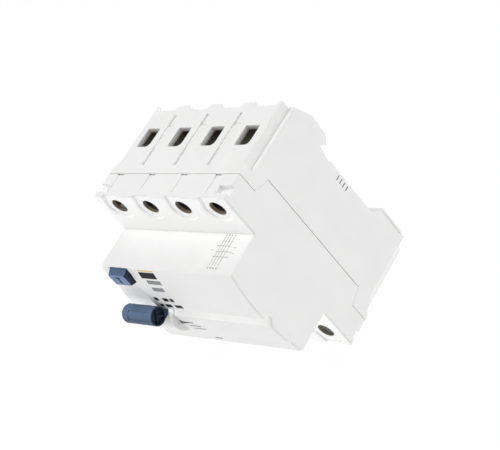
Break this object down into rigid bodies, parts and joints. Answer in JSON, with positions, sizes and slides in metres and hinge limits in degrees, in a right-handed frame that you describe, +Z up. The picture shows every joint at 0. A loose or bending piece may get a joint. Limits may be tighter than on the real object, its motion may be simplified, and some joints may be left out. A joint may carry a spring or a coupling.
{
  "type": "residual current device",
  "caption": "Modular rail-mounted residual current device: shouldered white casing, toggle handle on a turning drum, test button, screw terminals above and below.",
  "frame": {"origin": "centre of the flat seat that rests on the mounting rail's front face", "axes": "+X to the right seen from the front, +Y back towards the rail, +Z up; the handle is at the front, at -Y"},
  "size_m": [0.072, 0.0764, 0.0822],
  "materials": {
    "white_plastic": "satin moulded",
    "blue_grey_plastic": "satin moulded",
    "dark_plastic": "fine texture",
    "zinc_steel": "zinc plated",
    "spring_steel": "drawn wire",
    "copper": "rolled copper",
    "contact_brass": "rolled strip",
    "core_tape": "wound tape",
    "resistor_body": "lacquer"
  },
  "bodies": {
    "casing": {"front_cover": "white_plastic", "rear_base": "white_plastic", "handle_pivot_pin": "zinc_steel", "handle_spring": "spring_steel", "test_contact_spring": "contact_brass", "test_contact_strip": "contact_brass", "test_resistor": "resistor_body", "carrier_spring": "spring_steel", "toroid_core": "core_tape", "toroid_winding": "copper", "trip_relay_body": "dark_plastic", "trip_lever_pin": "zinc_steel", "rail_clip_spring": "spring_steel", "line_terminal_bar_1": "copper", "line_terminal_bar_2": "copper", "line_terminal_bar_3": "copper", "line_terminal_bar_4": "copper", "load_conductor_1": "copper", "load_conductor_2": "copper", "load_conductor_3": "copper", "load_conductor_4": "copper"},
    "handle": {"handle_grip": "blue_grey_plastic", "handle_drum": "white_plastic"},
    "contact_carrier": {"contact_carrier": "dark_plastic", "drive_link": "zinc_steel", "moving_contact_1": "copper", "moving_contact_2": "copper", "moving_contact_3": "copper", "moving_contact_4": "copper"},
    "test_button": {"test_button": "blue_grey_plastic"},
    "trip_plunger": {"trip_relay_plunger": "zinc_steel"},
    "trip_lever": {"trip_lever": "dark_plastic"},
    "rail_clip": {"rail_clip": "dark_plastic"},
    "line_terminal_screw_1": {"line_terminal_screw_1": "zinc_steel"},
    "line_clamp_cage_1": {"line_clamp_cage_1": "zinc_steel"},
    "line_terminal_screw_2": {"line_terminal_screw_2": "zinc_steel"},
    "line_clamp_cage_2": {"line_clamp_cage_2": "zinc_steel"},
    "line_terminal_screw_3": {"line_terminal_screw_3": "zinc_steel"},
    "line_clamp_cage_3": {"line_clamp_cage_3": "zinc_steel"},
    "line_terminal_screw_4": {"line_terminal_screw_4": "zinc_steel"},
    "line_clamp_cage_4": {"line_clamp_cage_4": "zinc_steel"},
    "load_terminal_screw_1": {"load_terminal_screw_1": "zinc_steel"},
    "load_clamp_cage_1": {"load_clamp_cage_1": "zinc_steel"},
    "load_terminal_screw_2": {"load_terminal_screw_2": "zinc_steel"},
    "load_clamp_cage_2": {"load_clamp_cage_2": "zinc_steel"},
    "load_terminal_screw_3": {"load_terminal_screw_3": "zinc_steel"},
    "load_clamp_cage_3": {"load_clamp_cage_3": "zinc_steel"},
    "load_terminal_screw_4": {"load_terminal_screw_4": "zinc_steel"},
    "load_clamp_cage_4": {"load_clamp_cage_4": "zinc_steel"}
  },
  "joints": [
    {"name": "handle_swing", "type": "hinge", "parent": "casing", "child": "handle", "pos_m": [-0.024, -0.05605, -0.0072], "axis": [1, 0, 0], "range_deg": [0, 78.35]},
    {"name": "carrier_slide", "type": "slide", "parent": "casing", "child": "contact_carrier", "axis": [0, -1, 0], "range_m": [0, 0.0046], "deforming": ["carrier_spring"]},
    {"name": "test_button_press", "type": "slide", "parent": "casing", "child": "test_button", "axis": [0, 1, 0], "range_m": [0, 0.0018], "stiffness_N_per_m": 400, "deforming": ["test_contact_spring"]},
    {"name": "trip_plunger_push", "type": "slide", "parent": "casing", "child": "trip_plunger", "axis": [-1, 0, 0], "range_m": [0, 0.0018]},
    {"name": "trip_lever_tilt", "type": "hinge", "parent": "casing", "child": "trip_lever", "pos_m": [-0.003, -0.0491, -0.009], "axis": [0, -1, 0], "range_deg": [0, 8.6]},
    {"name": "rail_clip_slide", "type": "slide", "parent": "casing", "child": "rail_clip", "axis": [0, 0, -1], "range_m": [0, 0.004], "stiffness_N_per_m": 800, "deforming": ["rail_clip_spring"]},
    {"name": "line_screw_turn_1", "type": "hinge", "parent": "casing", "child": "line_terminal_screw_1", "pos_m": [-0.027, -0.0361, 0.0347], "axis": [0, 1, 0], "range_deg": [0, 3601]},
    {"name": "line_cage_slide_1", "type": "slide", "parent": "casing", "child": "line_clamp_cage_1", "axis": [0, -1, 0], "range_m": [0, 0.008]},
    {"name": "line_screw_turn_2", "type": "hinge", "parent": "casing", "child": "line_terminal_screw_2", "pos_m": [-0.009, -0.0361, 0.0347], "axis": [0, 1, 0], "range_deg": [0, 3601]},
    {"name": "line_cage_slide_2", "type": "slide", "parent": "casing", "child": "line_clamp_cage_2", "axis": [0, -1, 0], "range_m": [0, 0.008]},
    {"name": "line_screw_turn_3", "type": "hinge", "parent": "casing", "child": "line_terminal_screw_3", "pos_m": [0.009, -0.0361, 0.0347], "axis": [0, 1, 0], "range_deg": [0, 3601]},
    {"name": "line_cage_slide_3", "type": "slide", "parent": "casing", "child": "line_clamp_cage_3", "axis": [0, -1, 0], "range_m": [0, 0.008]},
    {"name": "line_screw_turn_4", "type": "hinge", "parent": "casing", "child": "line_terminal_screw_4", "pos_m": [0.027, -0.0361, 0.0347], "axis": [0, 1, 0], "range_deg": [0, 3601]},
    {"name": "line_cage_slide_4", "type": "slide", "parent": "casing", "child": "line_clamp_cage_4", "axis": [0, -1, 0], "range_m": [0, 0.008]},
    {"name": "load_screw_turn_1", "type": "hinge", "parent": "casing", "child": "load_terminal_screw_1", "pos_m": [-0.027, -0.0361, -0.0347], "axis": [0, 1, 0], "range_deg": [0, 3601]},
    {"name": "load_cage_slide_1", "type": "slide", "parent": "casing", "child": "load_clamp_cage_1", "axis": [0, -1, 0], "range_m": [0, 0.008]},
    {"name": "load_screw_turn_2", "type": "hinge", "parent": "casing", "child": "load_terminal_screw_2", "pos_m": [-0.009, -0.0361, -0.0347], "axis": [0, 1, 0], "range_deg": [0, 3601]},
    {"name": "load_cage_slide_2", "type": "slide", "parent": "casing", "child": "load_clamp_cage_2", "axis": [0, -1, 0], "range_m": [0, 0.008]},
    {"name": "load_screw_turn_3", "type": "hinge", "parent": "casing", "child": "load_terminal_screw_3", "pos_m": [0.009, -0.0361, -0.0347], "axis": [0, 1, 0], "range_deg": [0, 3601]},
    {"name": "load_cage_slide_3", "type": "slide", "parent": "casing", "child": "load_clamp_cage_3", "axis": [0, -1, 0], "range_m": [0, 0.008]},
    {"name": "load_screw_turn_4", "type": "hinge", "parent": "casing", "child": "load_terminal_screw_4", "pos_m": [0.027, -0.0361, -0.0347], "axis": [0, 1, 0], "range_deg": [0, 3601]},
    {"name": "load_cage_slide_4", "type": "slide", "parent": "casing", "child": "load_clamp_cage_4", "axis": [0, -1, 0], "range_m": [0, 0.008]}
  ],
  "couplings": [
    {"joint": "carrier_slide", "follows": "handle_swing", "m_per_rad": 0.003326},
    {"joint": "trip_lever_tilt", "follows": "trip_plunger_push", "rad_per_m": 83.333},
    {"joint": "line_screw_turn_1", "follows": "line_cage_slide_1", "rad_per_m": 7854},
    {"joint": "line_screw_turn_2", "follows": "line_cage_slide_2", "rad_per_m": 7854},
    {"joint": "line_screw_turn_3", "follows": "line_cage_slide_3", "rad_per_m": 7854},
    {"joint": "line_screw_turn_4", "follows": "line_cage_slide_4", "rad_per_m": 7854},
    {"joint": "load_screw_turn_1", "follows": "load_cage_slide_1", "rad_per_m": 7854},
    {"joint": "load_screw_turn_2", "follows": "load_cage_slide_2", "rad_per_m": 7854},
    {"joint": "load_screw_turn_3", "follows": "load_cage_slide_3", "rad_per_m": 7854},
    {"joint": "load_screw_turn_4", "follows": "load_cage_slide_4", "rad_per_m": 7854}
  ]
}
